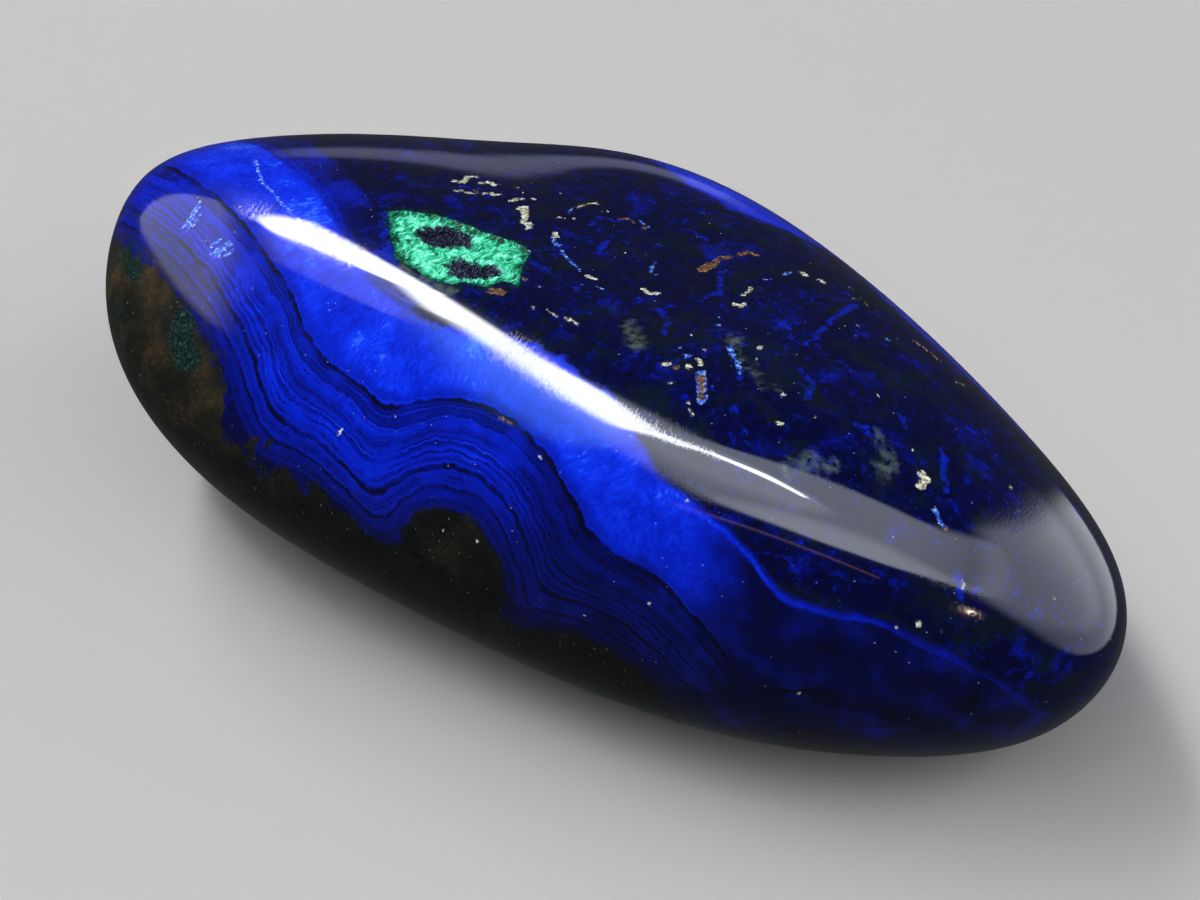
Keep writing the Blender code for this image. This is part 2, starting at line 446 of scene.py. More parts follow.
# %% Flecks
FLECKS = {
    "cream": [
        (2.9, (454, 181), (462, 182), (470, 176), (476, 177)), (3.1, (481, 183), (489, 182), (494, 185)),
        (2.3, (454, 191), (462, 191), (472, 194)), (2.7, (484, 194), (493, 194), (500, 195)),
        (1.7, (512, 188), (518, 187)), (1.9, (522, 192)), (2.7, (511, 201), (516, 200), (523, 199)),
        (2.4, (534, 199)), (1.3, (545, 198)), (1.3, (559, 193)),
        (3.0, (519, 209), (526, 207), (525, 214), (523, 222), (530, 224), (528, 228)),
        (1.7, (560, 217), (564, 218)), (2.2, (574, 218)), (1.9, (577, 207), (586, 204), (598, 204)),
        (2.0, (608, 204)), (1.0, (608, 211)), (1.1, (555, 225)), (2.3, (555, 233), (555, 237)),
        (1.1, (568, 267)), (2.6, (588, 276), (594, 279)), (1.9, (541, 287)), (0.9, (581, 285)),
        (1.9, (533, 308)), (1.0, (546, 310), (557, 316)), (1.5, (566, 318), (577, 324)), (1.3, (624, 252)),
        (1.1, (645, 255)), (1.2, (676, 250)), (2.6, (643, 289), (650, 294), (658, 293)),
        (2.4, (736, 304), (741, 306), (744, 304)), (1.4, (740, 296), (746, 294), (752, 288)),
        (2.1, (803, 273), (806, 276)), (2.1, (820, 280), (824, 283)), (1.6, (836, 288)),
        (2.9, (698, 359), (701, 364)), (3.1, (689, 367)), (2.6, (664, 364), (667, 363)),
        (1.9, (758, 349), (762, 347)), (1.2, (756, 359)), (1.3, (691, 335)), (1.2, (704, 350)),
        (1.2, (670, 383)), (1.0, (675, 382)), (1.6, (689, 403)), (0.9, (690, 410), (692, 415)),
        (2.2, (784, 395)), (1.9, (777, 422), (781, 424)), (1.0, (879, 396)), (1.2, (815, 416)),
        (3.6, (921, 474), (927, 479), (922, 486), (919, 486)), (1.3, (913, 450)),
        (1.1, (918, 622), (919, 626)), (1.1, (963, 582), (964, 587)), (1.1, (1009, 490), (1011, 486)),
        (1.4, (1062, 486)), (1.4, (1110, 640)), (1.0, (1053, 597)), (1.2, (341, 430), (338, 436)),
        (1.1, (395, 416)), (1.0, (397, 431)), (1.2, (541, 457)), (1.6, (443, 530)), (1.1, (477, 541)),
        (1.1, (687, 500)), (1.0, (585, 616)), (1.1, (650, 603)), (1.0, (799, 693)), (1.1, (897, 627)),
    ],
    "tan": [
        (1.8, (474, 191), (480, 193)), (1.5, (582, 205), (592, 203)),
        (1.3, (618, 219), (627, 218), (635, 223)), (2.5, (644, 228)), (5.0, (702, 270), (711, 265)),
        (3.4, (711, 265), (721, 258), (730, 257)), (3.1, (740, 255), (748, 252), (757, 255)),
        (5.0, (492, 291), (501, 292)), (2.6, (676, 367)), (2.8, (701, 375), (702, 398)),
        (4.2, (917, 343), (928, 351), (938, 359)), (1.6, (851, 298), (861, 300)),
        (1.5, (861, 300), (869, 306), (877, 311)), (2.2, (945, 529)), (3.4, (524, 279)),
        (1.0, (500, 418), (512, 425)), (2.0, (955, 382), (968, 386)),
    ],
    "sky": [
        (3.0, (557, 245)), (1.2, (561, 250), (567, 258), (573, 264), (581, 271)), (1.2, (658, 245)),
        (1.2, (667, 252)), (1.8, (655, 275)), (1.5, (764, 280), (771, 280)),
        (1.4, (784, 275), (790, 272), (800, 272)), (1.4, (812, 270)), (2.3, (851, 288)), (1.6, (718, 317)),
        (2.3, (718, 325)), (1.5, (858, 326)), (1.2, (856, 335)), (2.2, (888, 340)), (1.6, (899, 340)),
        (1.5, (729, 348), (733, 356), (738, 363)), (1.7, (738, 363), (740, 372)), (1.9, (681, 348)),
        (3.2, (688, 356)), (4.2, (701, 373), (702, 401)), (1.8, (935, 511), (939, 520), (943, 525)),
        (1.4, (975, 552)), (1.1, (254, 136), (254, 160), (262, 182), (284, 206), (300, 222)),
        (1.1, (184, 228), (187, 222), (194, 210), (200, 201)), (1.1, (188, 230), (192, 219), (199, 207)),
        (1.2, (210, 255), (220, 248), (230, 241)), (1.1, (214, 258), (222, 251), (231, 245)),
        (1.0, (329, 311)), (1.0, (334, 357)), (1.0, (553, 236), (554, 243)), (1.1, (569, 213), (572, 208)),
        (1.1, (596, 286), (604, 290)), (1.0, (640, 221), (650, 228)), (1.0, (655, 262), (650, 272)),
        (1.5, (212, 246), (222, 238)), (1.6, (216, 253), (226, 245)), (1.4, (222, 258), (232, 250)),
        (1.4, (186, 222), (193, 213), (198, 207)), (1.3, (193, 226), (200, 216)),
    ],
    "blue": [
        (1.9, (456, 186), (478, 189), (499, 190)), (4.6, (384, 213), (385, 235), (388, 254)),
        (2.0, (721, 270), (720, 295), (713, 293), (701, 301)), (3.2, (576, 288)), (2.3, (588, 313)),
        (4.6, (625, 243)), (4.8, (652, 201)), (2.2, (683, 358), (676, 360)), (1.9, (740, 376), (740, 384)),
        (3.2, (856, 305), (836, 316), (822, 331), (806, 344)), (4.6, (886, 344)),
        (3.4, (734, 409), (736, 413)), (5.2, (865, 429), (871, 433)), (2.8, (854, 424)),
        (4.2, (957, 574), (962, 597)), (4.0, (976, 591)), (3.0, (944, 450), (943, 474), (949, 499)),
        (2.6, (300, 163), (320, 194), (340, 228), (350, 262)), (3.0, (610, 237), (600, 250)),
        (2.6, (590, 225), (600, 218), (620, 222)), (3.2, (530, 262), (548, 270)),
        (2.4, (660, 310), (668, 322), (664, 335)), (2.8, (800, 370), (812, 384), (808, 398)),
        (3.0, (772, 330), (786, 322), (790, 338)), (2.6, (840, 362), (852, 372)),
        (2.4, (900, 412), (906, 428)), (2.8, (742, 430), (750, 442)), (2.4, (620, 300), (612, 312)),
        (2.6, (695, 232), (706, 240)),
    ],
}
DRUSES = [(15.0, (183, 320), (180, 340), (188, 360)), (11.0, (127, 248), (134, 272))]
HAZES = [
    (8.0, (628, 325), (640, 345)), (9.0, (785, 466), (806, 458), (832, 468)), (9.0, (880, 440), (887, 470)),
    (3.5, (731, 330), (739, 356), (756, 376), (773, 388)), (6.0, (405, 268), (425, 282), (450, 292)),
]
print({kind: len(marks) for kind, marks in FLECKS.items()})

# %% [markdown]
# ## Strokes on the stone
#
# A mark is drawn in straight strokes with round ends, as with a felt pen. Each stroke
# knows how far any place of the stone lies inside it, which is what the finish needs.

# %% Strokes
DOT_LENGTH = 0.01


class Stroke:
    """One straight run of a fleck: its two ends on the stone and half its width, in mm."""

    def __init__(self, start, end, half_width):
        self.seen_at = (start, end)
        self.start, self.end = on_stone(*start) / MM, on_stone(*end) / MM
        self.half_width = half_width * (self.start * MM - view_point).length / PIXELS_PER_TURN / MM
        self.middle = (self.start + self.end) / 2
        self.reach = (self.end - self.start).length / 2 + self.half_width

    def inside(self, spot):
        """How far a spot lies inside the stroke, in mm. It is negative outside."""
        line = self.end - self.start
        if line.length < DOT_LENGTH:
            return self.half_width - (spot - self.start).length
        share = max(0.0, min(1.0, (spot - self.start).dot(line) / line.length_squared))
        return self.half_width - (spot - self.start - line * share).length


def strokes_of(marks):
    """Every mark, cut into its straight runs. A mark with one place is a dot."""
    runs = []
    for half_width, *places in marks:
        for start, end in zip(places, places[1:] or places):
            runs.append(Stroke(start, end, half_width))
    return runs


strokes = {kind: strokes_of(marks) for kind, marks in FLECKS.items()}
patches = {"druse": strokes_of(DRUSES), "haze": strokes_of(HAZES)}
print({kind: len(runs) for kind, runs in strokes.items()})

# %% [markdown]
# ## The malachite pocket
#
# On the top a pocket of green malachite was cut through. It is softer than azurite, so
# the wheel left it a little below the skin, with two rough pits of dark crystals in it.
# Its outline is drawn as seen from above.

# %% Outline of the pocket
POCKET_OUTLINE = [
    (388, 212), (404, 210), (414, 212), (434, 214), (446, 217), (468, 225), (483, 232), (499, 237),
    (514, 241), (531, 251), (523, 264), (519, 285), (502, 281), (487, 287), (464, 283), (451, 284),
    (437, 281), (424, 275), (414, 268), (403, 262), (395, 258), (391, 237),
]
PIT_OUTLINES = [
    [(417, 226), (443, 224), (472, 231), (470, 245), (460, 243), (443, 245), (426, 240), (417, 233)],
    [(457, 255), (470, 260), (487, 264), (502, 266), (505, 270), (491, 275), (472, 277), (453, 273),
     (446, 262)],
]


def plan(outline):
    """An outline as seen from straight above, in mm."""
    return [Vector((p.x, p.y)) / MM for p in (on_stone(*place) for place in outline)]


def depth_inside(spot, outline):
    """How far a spot lies inside an outline, in mm. It is negative outside."""
    nearest = 1e9
    crossings = 0
    for start, end in zip(outline, outline[1:] + outline[:1]):
        side = end - start
        along = max(0.0, min(1.0, (spot - start).dot(side) / side.length_squared))
        nearest = min(nearest, (start + side * along - spot).length)
        if (start.y > spot.y) != (end.y > spot.y):
            crossings += spot.x < start.x + side.x * (spot.y - start.y) / side.y
    return nearest if crossings % 2 else -nearest


pocket = plan(POCKET_OUTLINE)
pits = [plan(outline) for outline in PIT_OUTLINES]
pocket_floor = (min(on_stone(*place).z for place in POCKET_OUTLINE) - 2 * MM) / MM
print("the pocket is", round(max(p.x for p in pocket) - min(p.x for p in pocket), 1), "mm long")

# %% [markdown]
# ## Finer squares where they are needed
#
# The squares that hold the pocket are cut finer, and relaxed again. Every point of the
# stone also stores how deep it lies in each kind of patch, which the finish reads later.

# %% Finer squares
FINE_CUTS = 5
POCKET_REACH = 0.4
OUTSIDE = -1.0
PATCH_REACH = 4.0
POCKET_FELT_PASSES = 8


def spot_of(point):
    return point.co / MM


def in_pocket(spot):
    return depth_inside(spot.xy, pocket) if spot.z > pocket_floor else OUTSIDE


def near_pocket(reach):
    above = [point for point in stone.verts if spot_of(point).z > pocket_floor]
    return [point for point in above if in_pocket(spot_of(point)) > -reach]


stores = {name: stone.verts.layers.float.new(name) for name in (*strokes, *patches, "pocket", "pit")}
coarse_square = (stone_high.x - stone_low.x) / (GRID_CUTS + 1) / MM
near = set(near_pocket(POCKET_REACH + coarse_square))
fine_edges = [edge for edge in stone.edges if edge.verts[0] in near and edge.verts[1] in near]
bmesh.ops.subdivide_edges(stone, edges=fine_edges, cuts=FINE_CUTS, use_grid_fill=True, smooth=1.0)
near = near_pocket(POCKET_REACH + coarse_square)
felt_wheel(near, POCKET_FELT_PASSES)
stone.normal_update()
for point in stone.verts:
    for name, layer in stores.items():
        point[layer] = OUTSIDE
    for name, runs in patches.items():
        point[stores[name]] = max(-PATCH_REACH, max(run.inside(spot_of(point)) for run in runs))
print(len(near), "points near the pocket")

# %% [markdown]
# ## Sinking the pocket
#
# Each point of the pocket is pushed in by how far it lies inside the outline, with some
# noise for the broken tufts and crystals.

# %% Sink the pocket
POCKET_DEPTH = 0.14
PIT_DEPTH = 0.42
TUFT_SIZE = 0.35
CRYSTAL_SIZE = 0.16
POCKET_WALL = 0.35
PIT_WALL = 0.45


def ease(value, low, high):
    """Goes smoothly from 0 at low to 1 at high."""
    t = max(0.0, min(1.0, (value - low) / (high - low)))
    return t * t * (3 - 2 * t)


pocket_layer, pit_layer = stores["pocket"], stores["pit"]
sunk = []
for point in near:
    spot = spot_of(point)
    point[pocket_layer] = max(OUTSIDE, in_pocket(spot))
    if point[pocket_layer] > OUTSIDE:
        point[pit_layer] = max(OUTSIDE, max(depth_inside(spot.xy, outline) for outline in pits))
    grit = noise.noise(spot / TUFT_SIZE) + 0.6 * noise.noise(spot / CRYSTAL_SIZE)
    pocket_share = ease(point[pocket_layer] + 0.12 * grit, 0.0, POCKET_WALL)
    pit_share = ease(point[pit_layer] + 0.25 * grit, -0.1, PIT_WALL)
    depth = pocket_share * (POCKET_DEPTH + 0.05 * grit) + pit_share * (PIT_DEPTH + 0.16 * grit)
    sunk.append((point, point.normal * depth * MM))
for point, push in sunk:
    point.co -= push
print("the deepest pit is", round(max(push.length for _, push in sunk) / MM, 2), "mm deep")

# %% [markdown]
# ## A fine net over the flecks
#
# A fleck is much smaller than a square of the grid. So a net with meshes a tenth of a
# millimetre wide is laid over each fleck, a hair above the skin. It takes the same finish
# as the stone, and its knots store how deep they lie in each kind of fleck, so that only
# the fleck itself shows. The net is as fine as the picture needs it, so its knots are
# counted in pixels. Noise crumbles the edges of the flecks, and its seed is set, because
# a noise vector is otherwise a different one in each run.

# %% Net over the flecks
NET_MESH = 2
NET_MARGIN = 0.16
NET_LIFT = 0.006
NET_THICKNESS = 0.05
CRUMBLE_SIZE = 0.5
CRUMBLE = 0.10
CRUMBLE_SEED = 7
MM_PER_PIXEL = VIEW_DISTANCE / PIXELS_PER_TURN / MM


def knots_near(run):
    """The knots of the net within reach of a stroke, by row and place in the row."""
    spare = (run.half_width + NET_MARGIN) / MM_PER_PIXEL + NET_MESH
    (left, right), (top, bottom) = (sorted(pair) for pair in zip(*run.seen_at))
    for across in range(int((left - spare) / NET_MESH), int((right + spare) / NET_MESH) + 2):
        for down in range(int((top - spare) / NET_MESH), int((bottom + spare) / NET_MESH) + 2):
            yield across, down


noise.seed_set(CRUMBLE_SEED)
depths = {}
for kind, runs in strokes.items():
    for run in runs:
        for knot in knots_near(run):
            spot = on_stone(knot[0] * NET_MESH, knot[1] * NET_MESH) / MM
            crumbled = spot + noise.noise_vector(spot / CRUMBLE_SIZE) * CRUMBLE
            here = depths.setdefault(knot, {})
            here[kind] = max(run.inside(crumbled), here.get(kind, OUTSIDE))

columns, rows = PICTURE[0] // NET_MESH, PICTURE[1] // NET_MESH
net = bmesh.new()
net_stores = {name: net.verts.layers.float.new(name) for name in stores}
bmesh.ops.create_grid(net, x_segments=columns, y_segments=rows, size=0.5)
bare = []
for knot in net.verts:
    where = (round((knot.co.x + 0.5) * columns), round((knot.co.y + 0.5) * rows))
    here = depths.get(where, {})
    if max(here.values(), default=OUTSIDE) < -NET_MARGIN:
        bare.append(knot)
        continue
    knot.co = on_stone(where[0] * NET_MESH, where[1] * NET_MESH)
    spot = spot_of(knot)
    if in_pocket(spot) > 0.0:
        bare.append(knot)
    for name, layer in net_stores.items():
        knot[layer] = here.get(name, OUTSIDE)
    for name, runs in patches.items():
        knot[net_stores[name]] = max(-PATCH_REACH, max(run.inside(spot) for run in runs))
    knot[net_stores["pocket"]] = max(OUTSIDE, in_pocket(spot))
    knot.co += polished_skin.find_nearest(knot.co)[1] * NET_LIFT * MM
bmesh.ops.delete(net, geom=bare, context="VERTS")
bmesh.ops.delete(net, geom=[knot for knot in net.verts if not knot.link_faces], context="VERTS")
print(len(net.faces), "meshes in the net")

# %% [markdown]
# ## Making the pieces
#
# The finished bmeshes become objects at the origin, with their faces shaded smooth. The
# net is given a thickness, which closes it, and the edges round its top stay sharp. Its
# squares are then halved along their shorter diagonal. Otherwise they are halved when the
# picture is made, and which way that goes differs from run to run.

# %% The pieces
SHARP = math.radians(50)


def finished_piece(name, shape, room=0.0):
    """Keeps a shape inside the solid's own box, shades it smooth and makes it an object."""
    top = stone_high - Vector((0, 0, room * MM))
    for point in shape.verts:
        point.co = Vector([max(low, min(high, c)) for c, low, high in zip(point.co, stone_low, top)])
    for face in shape.faces:
        face.smooth = True
    for edge in shape.edges:
        edge.smooth = edge.calc_face_angle(0.0) < SHARP
    triangles = sum(len(face.verts) - 2 for face in shape.faces)
    print(name, "has", triangles, "triangles")
    return new_object(name, shape)


bmesh.ops.recalc_face_normals(stone, faces=stone.faces[:])
net.normal_update()
if sum(face.normal.dot(view_back) for face in net.faces) < 0:
    bmesh.ops.reverse_faces(net, faces=net.faces[:])
bmesh.ops.solidify(net, geom=net.faces[:], thickness=NET_THICKNESS * MM)
bmesh.ops.recalc_face_normals(net, faces=net.faces[:])
bmesh.ops.triangulate(net, faces=net.faces[:], quad_method="SHORT_EDGE")
polished_stone = finished_piece("polished_stone", stone, room=2 * NET_LIFT)
crystal_flecks = finished_piece("crystal_flecks", net)
plain_stone.free()

# %% [markdown]
# ## Tools for the finish
#
# The colours of the stone come from shader nodes. Each helper below adds one node, or a
# short chain of them, and gives back its output, so a pattern reads as a sum. Everything
# is measured in mm.

# %% Sums as nodes
finish = bpy.data.materials.new("azurite_finish")
finish.use_nodes = True
desk = finish.node_tree
desk.nodes.clear()


def plug(socket, value):
    """Joins an output to an input, or sets the input to a plain value."""
    if isinstance(value, bpy.types.NodeSocket):
        desk.links.new(value, socket)
    elif isinstance(value, Vector):
        socket.default_value = value[:]
    else:
        socket.default_value = value


def tell(what):
    """Prints what has just been drawn, and how large the finish is by now."""
    print(what, "drawn with", len(desk.nodes), "nodes in all")


def sum_node(operation, *values):
    node = desk.nodes.new("ShaderNodeMath")
    node.operation = operation
    for socket, value in zip(node.inputs, values):
        plug(socket, value)
    return node.outputs[0]


def chain(operation, values):
    """Works through any count of values, two at a time."""
    total = values[0]
    for value in values[1:]:
        total = sum_node(operation, total, value)
    return total


def add(*terms):
    return chain("ADD", terms)


def minus(*terms):
    return chain("SUBTRACT", terms)


def times(*factors):
    return chain("MULTIPLY", factors)


def most(*values):
    return chain("MAXIMUM", values)


def arrow(operation, *values, scale=None):
    """A vector sum. It gives back a number where the operation does, and else a vector."""
    node = desk.nodes.new("ShaderNodeVectorMath")
    node.operation = operation
    for socket, value in zip(node.inputs, values):
        plug(socket, value)
    if scale is not None:
        plug(node.inputs["Scale"], scale)
    is_number = operation in ("DISTANCE", "LENGTH", "DOT_PRODUCT")
    return node.outputs["Value" if is_number else "Vector"]


def rise(value, low, high):
    """0 below low, 1 above high, and smooth between them. Low may be the larger one."""
    node = desk.nodes.new("ShaderNodeMapRange")
    node.interpolation_type = "SMOOTHSTEP"
    node.clamp = False
    plug(node.inputs["Value"], value)
    swapped = low > high
    node.inputs["From Min"].default_value = min(low, high)
    node.inputs["From Max"].default_value = max(low, high)
    node.inputs["To Min"].default_value = 1.0 if swapped else 0.0
    node.inputs["To Max"].default_value = 0.0 if swapped else 1.0
    return node.outputs["Result"]


def stripe(value, middle, half_width):
    """1 where the value is at the middle, 0 from half a width away."""
    return rise(sum_node("ABSOLUTE", minus(value, middle)), half_width, 0.3 * half_width)


print("sums ready")

# %% [markdown]
# ## Noise and colours as nodes
#
# Noise runs from 0 to 1 round a half. Its size is how wide its lumps are, its detail is
# how many finer layers of noise lie on top, and its roughness is how strong those are.

# %% Noise and colours
HALF = Vector((0.5, 0.5, 0.5))


def noise_node(sizes, socket, at, size, detail, roughness):
    node = desk.nodes.new("ShaderNodeTexNoise")
    node.noise_dimensions = sizes
    plug(node.inputs[socket], at)
    node.inputs["Scale"].default_value = 1.0 / size
    node.inputs["Detail"].default_value = detail
    node.inputs["Roughness"].default_value = roughness
    return node


def grain(at, size, detail=2.0, roughness=0.5):
    """Cloudy noise whose lumps are about this many mm across."""
    return noise_node("3D", "Vector", at, size, detail, roughness).outputs["Fac"]


def layers(at_depth, size, detail=2.0, roughness=0.5):
    """Noise along one number only, which draws lines where that number is a depth."""
    return noise_node("1D", "W", at_depth, size, detail, roughness).outputs["Fac"]


def swing(noise_value, reach):
    """Noise made to swing round 0, half its reach to either side."""
    return times(minus(noise_value, 0.5), reach)


def swayed(at, size, sway, detail=1.0):
    """The same place, pushed about by cloudy noise, so that what is drawn there wavers."""
    clouds_of_arrows = noise_node("3D", "Vector", at, size, detail, 0.5).outputs["Color"]
    return arrow("ADD", at, arrow("SCALE", arrow("SUBTRACT", clouds_of_arrows, HALF), scale=sway))


def cells(at, size):
    """How far a place is from the nearest of scattered points, this many mm apart."""
    node = desk.nodes.new("ShaderNodeTexVoronoi")
    plug(node.inputs["Vector"], at)
    node.inputs["Scale"].default_value = 1.0 / size
    return node.outputs["Distance"]


def ramp(value, stops):
    """A colour ramp from a list of (place, colour). A plain number stands for a grey."""
    node = desk.nodes.new("ShaderNodeValToRGB")
    marks = node.color_ramp.elements
    while len(marks) < len(stops):
        marks.new(0.5)
    for mark, (position, colour) in zip(marks, stops):
        mark.position = position
        grey = isinstance(colour, float)
        mark.color = (colour, colour, colour, 1.0) if grey else (*colour, 1.0)
    plug(node.inputs["Fac"], value)
    return node.outputs["Color"]


def mix(share, under, over, kind="RGBA"):
    """Lays one colour, number or vector over another by a share from 0 to 1."""
    node = desk.nodes.new("ShaderNodeMix")
    node.data_type = kind
    first = {"FLOAT": 2, "VECTOR": 4, "RGBA": 6}[kind]
    plug(node.inputs[0], share)
    for socket, value in ((node.inputs[first], under), (node.inputs[first + 1], over)):
        plug(socket, (*value, 1.0) if kind == "RGBA" and isinstance(value, tuple) else value)
    return node.outputs[first // 2 - 1 if kind != "FLOAT" else 0]


def stored(name):
    """What the points of the mesh store under this name."""
    node = desk.nodes.new("ShaderNodeAttribute")
    node.attribute_name = name
    return node.outputs["Fac"]


coordinates = desk.nodes.new("ShaderNodeTexCoord")
place = arrow("SCALE", coordinates.outputs["Object"], scale=1.0 / MM)
place_parts = desk.nodes.new("ShaderNodeSeparateXYZ")
plug(place_parts.inputs[0], place)
place_x, place_y, place_z = place_parts.outputs
print("noise and colours ready")

# %% [markdown]
# ## How the stone grew
#
# Azurite lined the crust of a cavity and grew out of it in round nodules. A layer of the
# stone is everything that lies at one depth from the crust, so one number, the depth,
# draws all the bands. It is the distance to the nearest of a few spheres, joined softly.
# The cut skin of the stone passes through the shells round them.

# %% Growth depth
NODULES = {
    "heel": (Vector((-33.2, -25.4, 4.1)), 23.2),
    "first bud": (Vector((-11.5, -16.5, 8.0)), 6.2),
    "second bud": (Vector((-0.8, -17.0, 12.7)), 3.2),
    "third bud": (Vector((7.0, -16.0, 6.0)), 5.1),
    "tip bud": (Vector((19.0, -12.0, 3.0)), 3.8),
    "keel": (Vector((-4.0, -15.0, 3.0)), 9.0),
    "back bud": (Vector((2.0, 14.0, 2.0)), 8.4),
    "back bud by the tip": (Vector((15.0, 8.0, 3.6)), 5.9),
}
SEAM = 2.5
FIBRES_FROM = 8.0
FIBRE_STRETCH = 0.94


def growth(at):
    """The depth of a place from the crust, and the middle of the nodule it belongs to."""
    depth, middle = None, None
    for centre, radius in NODULES.values():
        gap = minus(arrow("DISTANCE", at, centre), radius)
        if depth is None:
            depth, middle = gap, centre
        else:
            middle = mix(sum_node("LESS_THAN", gap, depth), middle, centre, "VECTOR")
            depth = sum_node("SMOOTH_MIN", depth, gap, SEAM)
    return depth, middle


wavering = swayed(swayed(place, 5.0, 0.6), 1.4, 0.55, detail=2.0)
depth, nodule_middle = growth(wavering)
outward = arrow("NORMALIZE", arrow("SUBTRACT", wavering, nodule_middle))
along_fibre = times(minus(depth, FIBRES_FROM), FIBRE_STRETCH)
fibre_place = arrow("SUBTRACT", wavering, arrow("SCALE", outward, scale=along_fibre))
print(len(NODULES), "nodules")

# %% [markdown]
# ## The blue bands
#
# Each layer is a slightly different blue, from electric to nearly black, because the
# water that fed it changed. One ramp over the depth holds the broad bands, as pairs of a
# depth and how light the blue is there. Noise makes their edges jagged, and lets them
# fade into plain blue in places.

# %% Broad bands
BAND_REACH = 12.0
BAND_LIGHT = [
    (0.00, 0.30), (0.20, 0.62), (0.50, 0.44), (0.65, 0.70), (1.00, 0.64), (1.08, 0.28), (1.16, 0.30),
    (1.26, 0.72), (1.95, 0.78), (2.06, 0.16), (2.18, 0.14), (2.28, 0.68), (2.80, 0.88), (3.14, 0.80),
    (3.22, 0.46), (3.30, 0.80), (4.10, 0.64), (4.66, 0.72), (4.74, 0.34), (4.82, 0.66), (5.30, 0.60),
    (5.42, 0.08), (5.54, 0.05), (5.64, 0.86), (5.76, 0.62), (6.30, 0.86), (9.50, 0.92), (9.75, 0.48),
    (9.95, 0.62), (10.15, 0.34), (12.0, 0.16),
]
AZURITE_SHADES = [
    (0.00, (0.0004, 0.0006, 0.0035)),
    (0.25, (0.0004, 0.0012, 0.0420)),
    (0.50, (0.0005, 0.0045, 0.1900)),
    (0.75, (0.0007, 0.0130, 0.5000)),
    (0.92, (0.0030, 0.0300, 0.7200)),
    (1.00, (0.0250, 0.1200, 0.8800)),
]
PLAIN_BLUE = 0.70
JAGGEDNESS = 0.34
FAINTEST_BAND = 0.35

line_depth = add(depth, swing(grain(place, 0.45, 3.0, 0.65), JAGGEDNESS))
light_by_depth = [(d / BAND_REACH, light) for d, light in BAND_LIGHT]
banding = ramp(times(line_depth, 1.0 / BAND_REACH), light_by_depth)
clear_bands = rise(grain(place, 3.4, 3.0, 0.6), 0.36, 0.60)
line_strength = add(FAINTEST_BAND, times(clear_bands, 1.0 - FAINTEST_BAND))
banding = mix(line_strength, PLAIN_BLUE, banding, "FLOAT")
print(len(BAND_LIGHT), "marks over", BAND_REACH, "mm of growth")
tell("broad bands")

# %% [markdown]
# ## Hairlines, clouds and needles
#
# Between the broad bands lie lines as thin as a hair, which noise along the depth draws.
# Azurite grows as fine needles that point straight out, so noise that is stretched across
# the layers gives its silk. It shows most in the plain blue past the last dark band.

# %% Hairlines, clouds and needles
HAIRLINE_GAP = 0.20
HAIRLINE_DARKNESS = 0.50
SOFT_LINE_GAP = 0.55
SOFT_LINE_SWING = 0.9
NEEDLE_WIDTH = 0.20
NEEDLE_SWING = 0.62

hairlines = rise(layers(line_depth, HAIRLINE_GAP, 3.0, 0.80), 0.34, 0.54)
soft_lines = layers(add(line_depth, 3.0), SOFT_LINE_GAP)
fading = grain(place, 2.2)
hairline_share = times(rise(depth, 0.3, 0.8), rise(depth, 5.5, 5.2), rise(fading, 0.30, 0.55))
band_light = times(banding, minus(1.0, times(minus(1.0, hairlines), hairline_share, HAIRLINE_DARKNESS)))
soft_line_light = add(1.0, times(minus(soft_lines, 0.5), hairline_share, SOFT_LINE_SWING))
band_light = times(band_light, soft_line_light)
clouds = grain(place, 2.6, 3.0, 0.6)
patchy = grain(place, 0.9, 4.0, 0.6)
band_light = times(band_light, add(0.55, times(clouds, 0.52), times(patchy, 0.34)))
needles = grain(fibre_place, NEEDLE_WIDTH, 4.0, 0.65)
needle_share = add(0.28, times(rise(depth, 5.6, 6.6), 0.55))
band_light = add(band_light, times(swing(needles, NEEDLE_SWING), needle_share))
tell("hairlines, clouds and needles")

# %% [markdown]
# ## Where the blue is deeper, and painted shade
#
# The blue deepens towards the narrow end and in the low bands there, and low on the front it is darkened
# with painted shade.
# Each of these is a share of darkness, and the strongest one counts. The clouds keep it
# from looking airbrushed, and the back stays bright. Next to the crust the layers are a
# little darker all round the stone.

# %% Deeper blue and painted shade
TIP_DARKNESS = 0.74
FRONT_PAINTED_SHADE = 0.66
LOW_BAND_DARKNESS = 0.46
NARROW_END_DARKNESS = 0.62
LIGHT_BY_THE_CRUST = 0.74

past_the_bands = rise(add(place_x, times(clouds, 4.0)), 13.2, 18.2)
tip_dusk = times(past_the_bands, rise(depth, 9.55, 9.25), TIP_DARKNESS)
# Painted shade: the front is darkened low down, where less light falls on it.
low_on_front = rise(add(place_z, times(clouds, 3.0)), 17.0, 10.0)
front_painted_shade = times(low_on_front, rise(place_x, -13.0, -1.0), FRONT_PAINTED_SHADE)
low_band_dusk = times(rise(place_x, 0.0, 6.0), rise(depth, 5.80, 5.35), LOW_BAND_DARKNESS)
narrow_end_dusk = times(rise(place_x, 13.0, 31.0), NARROW_END_DARKNESS)
# This share holds deeper blue and the painted shade low on the front.
deeper_blue_and_painted_shade = most(tip_dusk, front_painted_shade, narrow_end_dusk, low_band_dusk)
front_side = minus(1.0, rise(place_y, 0.0, 3.0))
deeper_blue_and_painted_shade = times(deeper_blue_and_painted_shade, front_side, add(0.34, times(fading, 1.20)))
band_light = times(band_light, minus(1.0, deeper_blue_and_painted_shade))
away_from_crust = times(rise(depth, 0.0, 3.6), 1.0 - LIGHT_BY_THE_CRUST)
band_light = times(band_light, add(LIGHT_BY_THE_CRUST, away_from_crust))
blue_bands = ramp(band_light, AZURITE_SHADES)
tell("blue bands")

